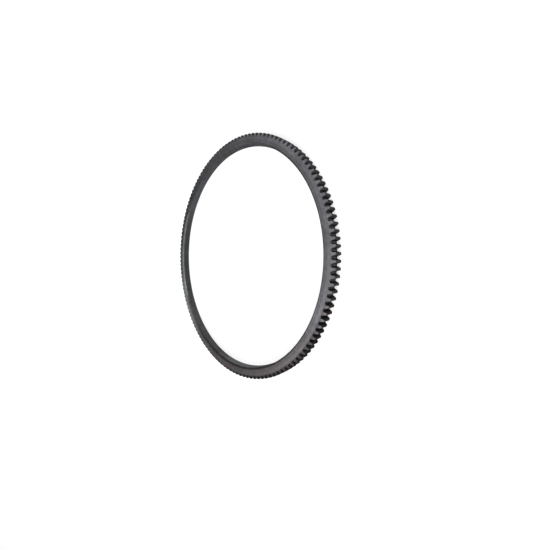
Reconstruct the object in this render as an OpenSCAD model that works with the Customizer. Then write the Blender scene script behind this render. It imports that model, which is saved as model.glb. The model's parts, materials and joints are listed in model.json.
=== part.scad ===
// Flywheel ring gear: a hardened steel band with starter teeth around its rim.
// It lies on its back face, axis along +Z, with the starter's side facing up.

/* [Teeth] */
// Number of teeth
tooth_count = 136; // [100:1:160]
// Module: pitch diameter divided by the number of teeth, here 12 teeth for each inch of it
tooth_module = 2.117; // [2:0.001:3]
// Pressure angle of the involute flanks in degrees
pressure_angle = 20; // [14.5:0.5:25]
// Height of a tooth above the pitch circle
addendum = 1.81; // [1.5:0.01:2.2]
// Depth of a tooth gap below the pitch circle
dedendum = 2.05; // [1.8:0.01:2.8]
// Thickness taken off each tooth at the pitch circle for running clearance
backlash = 0.05; // [0:0.05:0.4]
// Radius of the fillets at the bottom of a tooth gap
root_fillet = 0.4; // [0.2:0.05:0.5]

/* [Rim] */
// Wall between the bottom of the tooth gaps and the bore
rim_wall = 8.8; // [5:0.1:14]
// Width of the ring along its axis
face_width = 10.8; // [6:0.1:14]
// Chamfer at the front end of the bore
front_bore_chamfer = 1.9; // [0.3:0.1:2.4]
// Chamfer at the back end of the bore
back_bore_chamfer = 1.1; // [0.3:0.1:2.4]

/* [Tooth ends] */
// How deep the front chamfer cuts into the tooth tips
tip_chamfer_depth = 2.3; // [0.4:0.1:3]
// How far the front chamfer reaches along the tooth tips
tip_chamfer_length = 1.8; // [0.4:0.1:3]
// Chamfer on the tooth tips at the back face
back_chamfer = 0.2; // [0.1:0.1:1]
// Width that the lead-in bevel takes off the end of each tooth
bevel_width = 0.5; // [0.3:0.05:0.9]
// Length of the lead-in bevel along the tooth
bevel_length = 1.5; // [0.8:0.1:3]
// Height above the root fillet at which the lead-in bevel starts
bevel_start = 0.2; // [0.1:0.05:0.6]

/* [Hidden] */
$fn = 96;
pitch_r = tooth_count * tooth_module / 2;
base_r = pitch_r * cos(pressure_angle);
tip_r = pitch_r + addendum;
root_r = pitch_r - dedendum;
bore_r = root_r - rim_wall;
pitch_angle = 360 / tooth_count;
// The toothed outline runs this far past the tips, so that the turned blank cuts them round
tip_overrun = 0.3;
flank_steps = 3;
fillet_steps = 2;
// Room that the bevel's cutter has outside the tooth
cutter_room = 0.4;

// Angle at the centre between an involute's start and its point at pressure angle a
function involute(a) = tan(a) * 180 / PI - a;

// Pressure angle of the flank at radius r
function flank_angle(r) = acos(min(1, base_r / r));

// Half of a tooth's thickness at radius r, as an angle at the centre
function half_tooth(r) =
    pitch_angle / 4 - backlash / 2 / pitch_r * 180 / PI + involute(pressure_angle) - involute(flank_angle(r));

function polar(r, a) = [r * cos(a), r * sin(a)];

// Radius at which the fillet runs into the flank
fillet_top_r = root_r + root_fillet * (1 - sin(flank_angle(root_r)));
fillet_lean = flank_angle(fillet_top_r);
fillet_centre_r = root_r + root_fillet;
fillet_centre_a = half_tooth(fillet_top_r) + root_fillet * cos(fillet_lean) / fillet_top_r * 180 / PI;

// Fillet of the flank on the side of positive angles, from the gap's bottom up to the flank
fillet_side = [
    for (i = [0 : fillet_steps - 1])
        let (turn = 90 - (90 - fillet_lean) * i / fillet_steps)
        [
            fillet_centre_r - root_fillet * sin(turn),
            fillet_centre_a - root_fillet * cos(turn) / fillet_centre_r * 180 / PI
        ]
];

// Involute flank of the same side, from the fillet up past the tip
flank_side = [
    for (i = [0 : flank_steps])
        let (r = fillet_top_r + (tip_r + tip_overrun - fillet_top_r) * i / flank_steps)
        [r, half_tooth(r)]
];

// One side of a tooth as radius and angle, from the gap's bottom to the tip
tooth_side = concat(fillet_side, flank_side);

// Point of a tooth's outline: down the list on one side of the tooth and back on the other
function tooth_point(i, centre) =
    let (last = len(tooth_side) - 1)
    i <= last
        ? polar(tooth_side[i][0], centre - tooth_side[i][1])
        : polar(tooth_side[2 * last + 1 - i][0], centre + tooth_side[2 * last + 1 - i][1]);

module toothed_outline() {
    polygon([
        for (tooth = [0 : tooth_count - 1])
            for (i = [0 : 2 * len(tooth_side) - 1])
                tooth_point(i, tooth * pitch_angle)
    ]);
}

// The ring as it is turned before the teeth are cut
module turned_blank() {
    rotate_extrude()
        polygon([
            [bore_r + back_bore_chamfer, 0],
            [tip_r - back_chamfer, 0],
            [tip_r, back_chamfer],
            [tip_r, face_width - tip_chamfer_length],
            [tip_r - tip_chamfer_depth, face_width],
            [bore_r + front_bore_chamfer, face_width],
            [bore_r, face_width - front_bore_chamfer],
            [bore_r, back_bore_chamfer]
        ]);
}

// Cutter for the bevel on the end of the tooth at angle 0, laid along its flank
module bevel_cutter() {
    start_r = fillet_top_r + bevel_start;
    low = polar(start_r, half_tooth(start_r));
    high = polar(tip_r, half_tooth(tip_r));
    lean = atan2(high[1] - low[1], high[0] - low[0]);
    slope = bevel_length / bevel_width;
    translate([low[0], low[1], face_width])
        rotate([90, 0, 90 + lean])
            linear_extrude(height = tip_r - root_r + tip_overrun)
                polygon([
                    [-bevel_width - cutter_room / slope, cutter_room],
                    [cutter_room, -bevel_length - cutter_room * slope],
                    [cutter_room, cutter_room]
                ]);
}

module ring_gear() {
    color("dimgray")
        difference() {
            intersection() {
                turned_blank();
                linear_extrude(height = face_width) toothed_outline();
            }
            for (tooth = [0 : tooth_count - 1])
                rotate([0, 0, tooth * pitch_angle]) bevel_cutter();
        }
}

ring_gear();
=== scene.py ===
"""A flywheel ring gear lying flat: its finished steel surface, a white floor, soft light and the camera."""
import json
import math

import bpy
import numpy as np
from mathutils import Matrix, Vector


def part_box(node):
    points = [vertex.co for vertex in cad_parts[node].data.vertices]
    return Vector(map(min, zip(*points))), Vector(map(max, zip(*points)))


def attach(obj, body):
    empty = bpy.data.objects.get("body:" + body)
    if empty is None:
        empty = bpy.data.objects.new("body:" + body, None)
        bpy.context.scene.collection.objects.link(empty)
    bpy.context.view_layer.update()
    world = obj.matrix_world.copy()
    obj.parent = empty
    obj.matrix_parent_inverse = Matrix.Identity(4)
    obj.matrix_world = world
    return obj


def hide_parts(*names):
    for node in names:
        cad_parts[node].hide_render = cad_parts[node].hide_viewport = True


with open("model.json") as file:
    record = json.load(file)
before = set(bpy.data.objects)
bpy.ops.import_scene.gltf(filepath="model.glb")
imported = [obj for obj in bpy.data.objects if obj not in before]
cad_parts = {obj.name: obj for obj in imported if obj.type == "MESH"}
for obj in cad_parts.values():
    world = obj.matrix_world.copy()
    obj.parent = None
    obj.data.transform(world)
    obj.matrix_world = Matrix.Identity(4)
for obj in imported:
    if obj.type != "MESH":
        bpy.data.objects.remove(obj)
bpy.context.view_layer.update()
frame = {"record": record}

MM = 0.001

# Teeth, as in the construction: an involute on a pitch circle of 12 teeth for each inch of diameter
TOOTH_COUNT = 136
TOOTH_MODULE = 2.117 * MM
PRESSURE_ANGLE = math.radians(20)
DEDENDUM = 2.05 * MM
BACKLASH = 0.05 * MM
ROOT_FILLET = 0.4 * MM
CHAMFER_DEPTH = 2.3 * MM
CHAMFER_LENGTH = 1.8 * MM
BACK_CHAMFER = 0.2 * MM
BEVEL_WIDTH = 0.5 * MM
BEVEL_LENGTH = 1.5 * MM
BEVEL_START = 0.2 * MM
# Radius that deburring leaves on the cut edges
EDGE_RADIUS = 0.12 * MM

PITCH_R = TOOTH_COUNT * TOOTH_MODULE / 2
BASE_R = PITCH_R * math.cos(PRESSURE_ANGLE)
ROOT_R = PITCH_R - DEDENDUM
PITCH_ANGLE = 2 * math.pi / TOOTH_COUNT

LOW, HIGH = (Vector(corner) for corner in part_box("ring_gear"))
WIDTH = HIGH.z - LOW.z
TIP_R = HIGH.x
BORE = next(m for m in frame["record"]["mounts"] if m["name"] == "bore")
BORE_R = BORE["dims"]["r_mm"] * MM
BORE_LOW = BORE["pos_m"][2] - BORE["dims"]["length_mm"] * MM / 2
BORE_HIGH = BORE["pos_m"][2] + BORE["dims"]["length_mm"] * MM / 2
# The bore's chamfers are as deep as they are long
FRONT_BORE_CHAMFER = WIDTH - BORE_HIGH
BACK_BORE_CHAMFER = BORE_LOW

# The camera of the photograph, in tip radii and degrees, measured from the middle of the ring
VIEW_DISTANCE = 2.177
VIEW_FROM_AXIS = 53.59
VIEW_RISE = 0.36
VIEW_YAW = 9.22
VIEW_ROLL = 0.42
# Turn that brings a tooth of the model to a tooth of the photograph
TOOTH_PHASE = 1.31
IMAGE_SIZE = 550
FOCAL_PIXELS = 248.54
CENTRE_X_PIXEL = 275.0
CENTRE_Y_PIXEL = 255.70
SENSOR_MM = 36.0

# Side of the ring, as an angle from +X, where the faces carry the most painted light
FACE_LIT_SIDE = math.radians(6)
# Other patches of painted light and shade on the faces: side, cosine of the angle to it where it starts and is full,
# change of level
FACE_LIGHT_PATCHES = (
    (math.radians(148), 0.85, 1.0, -0.3),
    (math.radians(212), 0.92, 1.0, 0.9),
)
# Side where the teeth are darkened with painted shade
TEETH_SHADED_SIDE = math.radians(303)
# Side where the front chamfer of the bore carries a painted highlight
CHAMFER_HIGHLIGHT_SIDE = math.radians(178)
# Middle of the half where that chamfer is painted lighter; the other half carries painted shade
CHAMFER_LIGHTER_SIDE = math.radians(150)
# Sides of the bore's wall that carry painted light and painted shade
WALL_LIT_SIDE = math.radians(275)
WALL_SHADED_SIDE = math.radians(178)


def flank_half_angle(radius):
    """Half a tooth's thickness as an angle: the pitch circle's share less the growth of the involute."""
    at_pitch = PITCH_ANGLE / 4 - BACKLASH / 2 / PITCH_R
    lean = np.arccos(np.minimum(1, BASE_R / radius))
    return at_pitch + math.tan(PRESSURE_ANGLE) - PRESSURE_ANGLE - (np.tan(lean) - lean)


def tooth_side(fillet_points=4):
    """Radius and angle down one side of a tooth: middle of the tip, involute flank, fillet, middle of the gap.

    The fillet is an arc that leaves the flank at its own lean and ends on the root circle.
    """
    lean = math.acos(BASE_R / ROOT_R)
    top_r = ROOT_R + ROOT_FILLET * (1 - math.sin(lean))
    chamfered = np.linspace(TIP_R, TIP_R - CHAMFER_DEPTH, 4)
    below = np.linspace(chamfered[-1], top_r, 4)[1:]
    flank_r = np.concatenate([chamfered, below])
    flank_a = flank_half_angle(flank_r)
    turn = np.linspace(lean, math.pi / 2, fillet_points)[1:]
    centre_r = ROOT_R + ROOT_FILLET
    centre_a = flank_half_angle(np.array([top_r]))[0] + ROOT_FILLET * math.cos(lean) / top_r
    fillet_r = centre_r - ROOT_FILLET * np.sin(turn)
    fillet_a = centre_a - ROOT_FILLET * np.cos(turn) / centre_r
    radius = np.concatenate([[TIP_R], flank_r, fillet_r, [ROOT_R]])
    angle = np.concatenate([[0.0], flank_a, fillet_a, [PITCH_ANGLE / 2]])
    return radius, angle, top_r


def gear_outline():
    """Radius, angle and beveled-flank share of every outline point, once round the gear.

    The share is 1 on the flank that the starter pinion meets first, above the fillet, and 0 elsewhere.
    """
    radius, angle, fillet_top = tooth_side()
    one_radius = np.concatenate([radius[:0:-1], radius[:-1]])
    one_angle = np.concatenate([-angle[:0:-1], angle[:-1]])
    one_share = np.clip((one_radius - fillet_top - BEVEL_START) / BEVEL_START, 0, 1)
    one_share = np.where(one_angle > 1e-9, one_share, 0)
    centres = np.arange(TOOTH_COUNT)[:, None] * PITCH_ANGLE
    columns = len(one_radius)
    shape = (TOOTH_COUNT, columns)
    return (
        np.broadcast_to(one_radius, shape).ravel(),
        (centres + one_angle).ravel(),
        np.broadcast_to(one_share, shape).ravel(),
    )


def outline_at(height, inset, outline):
    """The outline at one height: moved inwards along its normal, capped by the tip chamfers, bevelled at the front."""
    radius, angle, share = outline
    x = radius * np.cos(angle)
    y = radius * np.sin(angle)
    along_x = np.roll(x, -1) - np.roll(x, 1)
    along_y = np.roll(y, -1) - np.roll(y, 1)
    length = np.hypot(along_x, along_y)
    x = x - inset * along_y / length
    y = y + inset * along_x / length
    radius = np.hypot(x, y)
    angle = np.unwrap(np.arctan2(y, x))
    front_cut = CHAMFER_DEPTH * max(0.0, 1 - (WIDTH - height) / CHAMFER_LENGTH)
    tip_limit = TIP_R - max(front_cut, BACK_CHAMFER - height, 0.0)
    bevel = BEVEL_WIDTH * max(0.0, 1 - (WIDTH - height) / BEVEL_LENGTH)
    angle = angle - share * bevel / radius
    return np.minimum(radius, tip_limit), angle


def section_rows():
    """The loop round the ring's section as rows of height, inset of the outline, and share from bore to outline."""
    edge = EDGE_RADIUS
    half_edge = edge * (1 - math.sqrt(0.5))
    face_shares = (0.97, 0.7, 0.4, 0.1)
    rows = []
    for height in np.linspace(BACK_CHAMFER, WIDTH - CHAMFER_LENGTH, 4):
        rows.append((height, 0.0, 1.0))
    for depth in (BEVEL_LENGTH, CHAMFER_LENGTH * 2 / 3, CHAMFER_LENGTH / 3, edge):
        rows.append((WIDTH - depth, 0.0, 1.0))
    rows.append((WIDTH - half_edge, half_edge, 1.0))
    for share in (1.0,) + face_shares:
        rows.append((WIDTH, edge, share))
    for height, radius in (
        (WIDTH, FRONT_BORE_CHAMFER + half_edge), (WIDTH - half_edge, FRONT_BORE_CHAMFER - half_edge),
        (BORE_HIGH + half_edge, half_edge), (BORE_HIGH - half_edge, 0.0),
        (WIDTH * 0.66, 0.0), (WIDTH * 0.33, 0.0), (BORE_LOW + half_edge, 0.0), (BORE_LOW - half_edge, half_edge),
        (half_edge, BACK_BORE_CHAMFER - half_edge), (0.0, BACK_BORE_CHAMFER + half_edge),
    ):
        rows.append((height, -1.0, BORE_R + radius))
    for share in face_shares[::-1] + (1.0,):
        rows.append((0.0, edge, share))
    rows.append((half_edge, half_edge, 1.0))
    rows.append((edge, 0.0, 1.0))
    return rows


def gear_points():
    """Grid of points: rows round the section, columns round the outline.

    A face row lies between the bore's chamfer and the outline at the same angle, so the faces stay flat.
    """
    outline = gear_outline()
    grid = []
    for height, inset, share in section_rows():
        inner = BORE_R + (FRONT_BORE_CHAMFER if height > WIDTH / 2 else BACK_BORE_CHAMFER)
        if inset < 0:
            _, angle = outline_at(WIDTH / 2, 0.0, outline)
            radius = np.full_like(angle, share)
        else:
            radius, angle = outline_at(height, inset, outline)
            radius = inner + (radius - inner) * share
        grid.append(np.stack([radius * np.cos(angle), radius * np.sin(angle), np.full_like(angle, height)], 1))
    return np.array(grid)


def closed_grid_mesh(name, grid):
    """Mesh of a grid that closes on itself both ways, each cell a quad facing out."""
    rows, columns = grid.shape[:2]
    i, j = np.meshgrid(np.arange(rows), np.arange(columns), indexing="ij")
    below, beside = (i + 1) % rows, (j + 1) % columns
    quads = np.stack([i * columns + j, i * columns + beside, below * columns + beside, below * columns + j], -1)
    mesh = bpy.data.meshes.new(name)
    mesh.from_pydata(grid.reshape(-1, 3), [], quads.reshape(-1, 4))
    mesh.polygons.foreach_set("use_smooth", np.ones(rows * columns, dtype=bool))
    mesh.set_sharp_from_angle(angle=math.radians(25))
    mesh.validate()
    mesh.update()
    return mesh


class Network:
    """Small helper that adds nodes to one material and joins them."""

    def __init__(self, material):
        self.nodes = material.node_tree.nodes
        self.links = material.node_tree.links

    def feed(self, socket, value):
        if isinstance(value, bpy.types.NodeSocket):
            self.links.new(value, socket)
        else:
            socket.default_value = value

    def math(self, operation, first, second=0.0):
        node = self.nodes.new("ShaderNodeMath")
        node.operation = operation
        self.feed(node.inputs[0], first)
        self.feed(node.inputs[1], second)
        return node.outputs["Value"]

    def ramp(self, value, start, end, low=0.0, high=1.0):
        """Smooth step of a value: low up to start, high from end on."""
        node = self.nodes.new("ShaderNodeMapRange")
        node.interpolation_type = "SMOOTHSTEP"
        self.feed(node.inputs["Value"], value)
        node.inputs["From Min"].default_value = start
        node.inputs["From Max"].default_value = end
        node.inputs["To Min"].default_value = low
        node.inputs["To Max"].default_value = high
        return node.outputs["Result"]

    def towards(self, split, radius, side):
        """Cosine of the angle round the ring between a point and one side of it, in radians from +X."""
        across = self.math("MULTIPLY", split.outputs["X"], math.cos(side))
        along = self.math("MULTIPLY", split.outputs["Y"], math.sin(side))
        return self.math("DIVIDE", self.math("ADD", across, along), radius)

    def noise(self, vector, scale, detail, roughness=0.55):
        node = self.nodes.new("ShaderNodeTexNoise")
        self.feed(node.inputs["Vector"], vector)
        node.inputs["Scale"].default_value = scale
        node.inputs["Detail"].default_value = detail
        node.inputs["Roughness"].default_value = roughness
        return node.outputs["Fac"]

    def blend(self, share, first, second):
        node = self.nodes.new("ShaderNodeMix")
        node.data_type = "RGBA"
        self.feed(node.inputs["Factor"], share)
        self.feed(node.inputs[6], first)
        self.feed(node.inputs[7], second)
        return node.outputs[2]


def steel_material():
    """Dark hardened steel: bright where it was turned, with painted shade in the tooth gaps and painted light and
    shade, set by side of the ring, on the faces, teeth, bore and its chamfers.
    """
    material = bpy.data.materials.new("hardened_steel")
    material.use_nodes = True
    net = Network(material)
    shader = net.nodes["Principled BSDF"]
    shader.inputs["Metallic"].default_value = 0.92
    shader.inputs["Specular Tint"].default_value = (0.35, 0.35, 0.36, 1)
    shader.inputs["Anisotropic"].default_value = 0.75
    shader.inputs["Anisotropic Rotation"].default_value = 0.25
    place = net.nodes.new("ShaderNodeTexCoord").outputs["Object"]
    tangent = net.nodes.new("ShaderNodeTangent")
    tangent.direction_type = "RADIAL"
    tangent.axis = "Z"
    net.links.new(tangent.outputs["Tangent"], shader.inputs["Tangent"])

    split = net.nodes.new("ShaderNodeSeparateXYZ")
    net.links.new(place, split.inputs["Vector"])
    height = split.outputs["Z"]
    across = net.math("MULTIPLY", split.outputs["X"], split.outputs["X"])
    along = net.math("MULTIPLY", split.outputs["Y"], split.outputs["Y"])
    radius = net.math("SQRT", net.math("ADD", across, along))

    # how deep a point lies below the turned skin: both faces, the front chamfer and the tips
    below_front = net.math("SUBTRACT", WIDTH, height)
    below_tip = net.math("SUBTRACT", TIP_R, radius)
    slope = CHAMFER_DEPTH / CHAMFER_LENGTH
    chamfer_line = net.math("SUBTRACT", CHAMFER_DEPTH, net.math("MULTIPLY", below_front, slope))
    below_chamfer = net.math("SUBTRACT", below_tip, chamfer_line)
    skin = net.math("MINIMUM", net.math("MINIMUM", below_front, height), below_chamfer)
    cut = net.ramp(net.math("MINIMUM", skin, below_tip), 0.04 * MM, 0.22 * MM)
    outer = net.ramp(radius, ROOT_R - 0.3 * MM, ROOT_R - 0.1 * MM)
    # painted shade in the tooth gaps: the flanks and gap floors below the turned skin
    gaps = net.math("MULTIPLY", cut, outer)
    tips = net.math("MULTIPLY", net.ramp(below_tip, 0.02 * MM, 0.2 * MM, 1.0, 0.0), net.ramp(skin, 0.05 * MM, 0.2 * MM))
    chamfer = net.math("MULTIPLY", net.ramp(below_chamfer, 0.05 * MM, 0.2 * MM, 1.0, 0.0), net.ramp(below_front, 0.05 * MM, 0.2 * MM))
    tooth_end = net.math("MULTIPLY", net.ramp(below_front, 0.02 * MM, 0.1 * MM, 1.0, 0.0), outer)
    # painted light on the bore's front chamfer: painted shade on one half and a painted highlight on one side
    edge_in = net.ramp(radius, BORE_R + FRONT_BORE_CHAMFER - 0.1 * MM, BORE_R + FRONT_BORE_CHAMFER + 0.2 * MM, 1.0, 0.0)
    bore_edge = net.math("MULTIPLY", edge_in, net.ramp(height, BORE_HIGH - 0.2 * MM, BORE_HIGH + 0.1 * MM))
    chamfer_highlight = net.ramp(net.towards(split, radius, CHAMFER_HIGHLIGHT_SIDE), 0.82, 0.99)
    chamfer_shade_by_side = net.ramp(net.towards(split, radius, CHAMFER_LIGHTER_SIDE), -0.5, 0.75, 0.42, 0.8)
    chamfer_light_level = net.math("MULTIPLY", chamfer_shade_by_side, net.math("ADD", 1.0, net.math("MULTIPLY", chamfer_highlight, 2.3)))
    bore_chamfer_painted_light = net.math("MULTIPLY", bore_edge, net.math("SUBTRACT", chamfer_light_level, 1.0))
    # painted highlight along the back edge of the bore
    back_edge_in = net.ramp(radius, BORE_R + BACK_BORE_CHAMFER - 0.1 * MM, BORE_R + BACK_BORE_CHAMFER + 0.1 * MM, 1.0, 0.0)
    back_edge_highlight = net.math("MULTIPLY", back_edge_in, net.ramp(height, BORE_LOW - 0.2 * MM, BORE_LOW + 0.05 * MM, 1.0, 0.0))

    mottle = net.noise(place, 60, 5, 0.6)
    patches = net.noise(place, 14, 2, 0.5)
    streaks = net.nodes.new("ShaderNodeTexNoise")
    streaks.noise_dimensions = "1D"
    streaks.inputs["Scale"].default_value = 520
    streaks.inputs["Detail"].default_value = 2
    net.links.new(radius, streaks.inputs["W"])
    lean = net.math("MULTIPLY", net.math("SUBTRACT", patches, 0.5), 0.08)
    violet, warm, green = (0.081, 0.080, 0.087, 1), (0.0865, 0.0795, 0.083, 1), (0.079, 0.083, 0.082, 1)
    tone = net.blend(net.ramp(net.math("ADD", split.outputs["Y"], lean), -0.11, -0.03, 1.0, 0.0), violet, warm)
    tone = net.blend(net.ramp(net.math("ADD", split.outputs["X"], lean), -0.14, -0.06, 1.0, 0.0), tone, green)
    # painted light and shade on the faces, set by side of the ring: lighter on one side and darker on another
    lit_side_light = net.ramp(net.math("ADD", net.towards(split, radius, FACE_LIT_SIDE), lean), -0.1, 1.0, 0.0, 0.8)
    uneven = lit_side_light
    for side, start, full, change in FACE_LIGHT_PATCHES:
        patch = net.ramp(net.math("ADD", net.towards(split, radius, side), lean), start, full, 0.0, change)
        uneven = net.math("ADD", uneven, patch)
    outside = net.ramp(radius, BORE_R + 0.2 * MM, BORE_R + 0.5 * MM)
    face_painted_light = net.math("MULTIPLY", uneven, outside)
    # painted light and shade on the bore's wall: lighter on one side and darker on another
    wall = net.math("SUBTRACT", 1.0, outside)
    wall_light_change = net.math(
        "ADD",
        net.ramp(net.towards(split, radius, WALL_LIT_SIDE), 0.93, 1.0, 0.0, 0.9),
        net.ramp(net.towards(split, radius, WALL_SHADED_SIDE), 0.72, 0.95, 0.0, -0.28),
    )
    wall_light_and_shade = net.math("MULTIPLY", wall, wall_light_change)
    # painted shade on the teeth on one side of the ring
    teeth_side_shade = net.math("MULTIPLY", outer, net.ramp(net.towards(split, radius, TEETH_SHADED_SIDE), 0.62, 0.93))
    # painted highlight on the faces, growing towards the teeth on the lit side
    face_sheen_to_teeth = net.math("MULTIPLY", lit_side_light, net.ramp(radius, BORE_R + 3 * MM, ROOT_R, -0.1, 0.55))
    level = net.math("MULTIPLY", net.ramp(mottle, 0.25, 0.75, 0.82, 1.18), net.math("ADD", 1.0, net.math("ADD", face_painted_light, face_sheen_to_teeth)))
    level = net.math("MULTIPLY", level, net.ramp(net.noise(place, 260, 3), 0.3, 0.7, 0.87, 1.13))
    level = net.math("MULTIPLY", level, net.ramp(streaks.outputs["Fac"], 0.3, 0.7, 0.92, 1.08))
    rust = net.math("MULTIPLY", net.ramp(net.noise(place, 90, 4, 0.65), 0.5, 0.63), net.ramp(radius, ROOT_R - 4 * MM, TIP_R))
    rust = net.math("MULTIPLY", rust, net.ramp(split.outputs["Y"], -0.09, -0.02, 0.75, 0.12))
    tone = net.blend(rust, tone, (0.115, 0.075, 0.06, 1))
    tone = net.blend(outside, (0.079, 0.081, 0.086, 1), tone)
    # changes of level: painted shade in the tooth gaps, darker tooth tips, slightly lighter tip chamfers and tooth
    # ends, painted light and shade on the bore's front chamfer and wall, painted shade on one side's teeth
    zones = (
        (gaps, -0.65), (tips, -0.72), (bore_chamfer_painted_light, 1.0), (chamfer, 0.08), (tooth_end, 0.12), (teeth_side_shade, -0.57),
        (wall_light_and_shade, 1.0),
    )
    for zone, share in zones:
        level = net.math("MULTIPLY", level, net.math("ADD", 1.0, net.math("MULTIPLY", zone, share)))
    level = net.math("ADD", level, net.math("MULTIPLY", back_edge_highlight, 5.0))
    shade = net.nodes.new("ShaderNodeVectorMath")
    shade.operation = "SCALE"
    net.links.new(tone, shade.inputs[0])
    net.links.new(level, shade.inputs["Scale"])
    net.links.new(shade.outputs["Vector"], shader.inputs["Base Color"])

    rough = net.math("ADD", net.ramp(mottle, 0.2, 0.8, 0.46, 0.56), net.math("MULTIPLY", gaps, 0.1))
    net.links.new(rough, shader.inputs["Roughness"])

    rings = net.nodes.new("ShaderNodeTexNoise")
    rings.noise_dimensions = "1D"
    rings.inputs["Scale"].default_value = 2400
    rings.inputs["Detail"].default_value = 3
    net.links.new(radius, rings.inputs["W"])
    relief = net.nodes.new("ShaderNodeBump")
    relief.inputs["Strength"].default_value = 0.25
    relief.inputs["Distance"].default_value = 0.0001
    net.links.new(rings.outputs["Fac"], relief.inputs["Height"])
    net.links.new(relief.outputs["Normal"], shader.inputs["Normal"])
    return material


def looked_at(nodes, links):
    """1 where the camera, a reflection or clear glass shows the background, and 0 where it only lights the ring."""
    path = nodes.new("ShaderNodeLightPath")
    socket = path.outputs["Is Camera Ray"]
    for name in ("Is Glossy Ray", "Is Transmission Ray"):
        either = nodes.new("ShaderNodeMath")
        either.operation = "MAXIMUM"
        links.new(socket, either.inputs[0])
        links.new(path.outputs[name], either.inputs[1])
        socket = either.outputs["Value"]
    return socket


def make_gear():
    piece = bpy.data.objects.new("ring_gear_finished", closed_grid_mesh("ring_gear_finished", gear_points()))
    bpy.context.scene.collection.objects.link(piece)
    piece.data.materials.append(steel_material())
    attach(piece, "root")
    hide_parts("ring_gear")
    return piece


def make_camera():
    """Camera beside the front of the ring, looking past its centre, with the photograph's up along the ring."""
    theta, rise = math.radians(VIEW_FROM_AXIS), math.radians(VIEW_RISE)
    yaw, roll = math.radians(VIEW_YAW), math.radians(VIEW_ROLL)
    towards = Vector((math.sin(theta) * math.cos(rise), math.sin(rise), math.cos(theta) * math.cos(rise)))
    side = Vector((math.cos(theta), 0, -math.sin(theta)))
    up = towards.cross(side).normalized()
    ahead = -towards * math.cos(yaw) + side * math.sin(yaw)
    right = side * math.cos(yaw) + towards * math.sin(yaw)
    right, up = (right * math.cos(roll) + up * math.sin(roll), up * math.cos(roll) - right * math.sin(roll))
    basis = Matrix((right, up, -ahead)).transposed().to_4x4()
    basis.translation = towards * VIEW_DISTANCE * TIP_R
    camera = bpy.data.objects.new("camera", bpy.data.cameras.new("camera"))
    bpy.context.scene.collection.objects.link(camera)
    turn = Matrix.Rotation(-math.radians(TOOTH_PHASE), 4, "Z")
    camera.matrix_world = Matrix.Translation((0, 0, WIDTH / 2)) @ turn @ basis
    camera.data.sensor_width = SENSOR_MM
    camera.data.lens = FOCAL_PIXELS / IMAGE_SIZE * SENSOR_MM
    camera.data.shift_x = (IMAGE_SIZE / 2 - 0.5 - CENTRE_X_PIXEL) / IMAGE_SIZE
    camera.data.shift_y = (CENTRE_Y_PIXEL - IMAGE_SIZE / 2 + 0.5) / IMAGE_SIZE
    camera.data.clip_start = 0.01
    bpy.context.scene.camera = camera


def make_floor():
    """White floor just under the ring: lit as white paint, with the rest of its white added for the viewer."""
    size = 6.0
    mesh = bpy.data.meshes.new("floor")
    corners = [(-size, -size, 0), (size, -size, 0), (size, size, 0), (-size, size, 0)]
    mesh.from_pydata([(x, y, LOW.z - 0.02 * MM) for x, y, _ in corners], [], [(0, 1, 2, 3)])
    floor = bpy.data.objects.new("floor", mesh)
    bpy.context.scene.collection.objects.link(floor)
    material = bpy.data.materials.new("white_floor")
    material.use_nodes = True
    nodes, links = material.node_tree.nodes, material.node_tree.links
    nodes["Principled BSDF"].inputs["Base Color"].default_value = (0.8, 0.8, 0.8, 1)
    nodes["Principled BSDF"].inputs["Roughness"].default_value = 1.0
    nodes["Principled BSDF"].inputs["Specular IOR Level"].default_value = 0.0
    glow = nodes.new("ShaderNodeEmission")
    scale = nodes.new("ShaderNodeMath")
    scale.operation = "MULTIPLY"
    scale.inputs[1].default_value = 0.62
    links.new(looked_at(nodes, links), scale.inputs[0])
    links.new(scale.outputs["Value"], glow.inputs["Strength"])
    both = nodes.new("ShaderNodeAddShader")
    links.new(nodes["Principled BSDF"].outputs["BSDF"], both.inputs[0])
    links.new(glow.outputs["Emission"], both.inputs[1])
    links.new(both.outputs["Shader"], nodes["Material Output"].inputs["Surface"])
    mesh.materials.append(material)


def make_world():
    """White room: full white where it is looked at, and softer where it lights the ring."""
    world = bpy.data.worlds.new("studio")
    bpy.context.scene.world = world
    world.use_nodes = True
    nodes, links = world.node_tree.nodes, world.node_tree.links
    mix = nodes.new("ShaderNodeMapRange")
    mix.inputs["To Min"].default_value = 0.55
    mix.inputs["To Max"].default_value = 1.0
    links.new(looked_at(nodes, links), mix.inputs["Value"])
    links.new(mix.outputs["Result"], nodes["Background"].inputs["Strength"])
    nodes["Background"].inputs["Color"].default_value = (1, 1, 1, 1)


def make_lamp(name, place, size, power):
    """Soft square lamp that faces the ring."""
    light = bpy.data.lights.new(name, "AREA")
    light.size = size
    light.energy = power
    lamp = bpy.data.objects.new(name, light)
    lamp.location = place
    lamp.rotation_euler = (-Vector(place)).to_track_quat("-Z", "Y").to_euler()
    bpy.context.scene.collection.objects.link(lamp)


make_camera()
make_gear()
make_floor()
make_world()
make_lamp("lamp_left", (-1.04, -0.28, 0.63), 0.35, 1.6)
make_lamp("lamp_low_right", (0.58, -0.83, 0.74), 0.35, 4.9)
bpy.context.scene.view_settings.view_transform = "Standard"
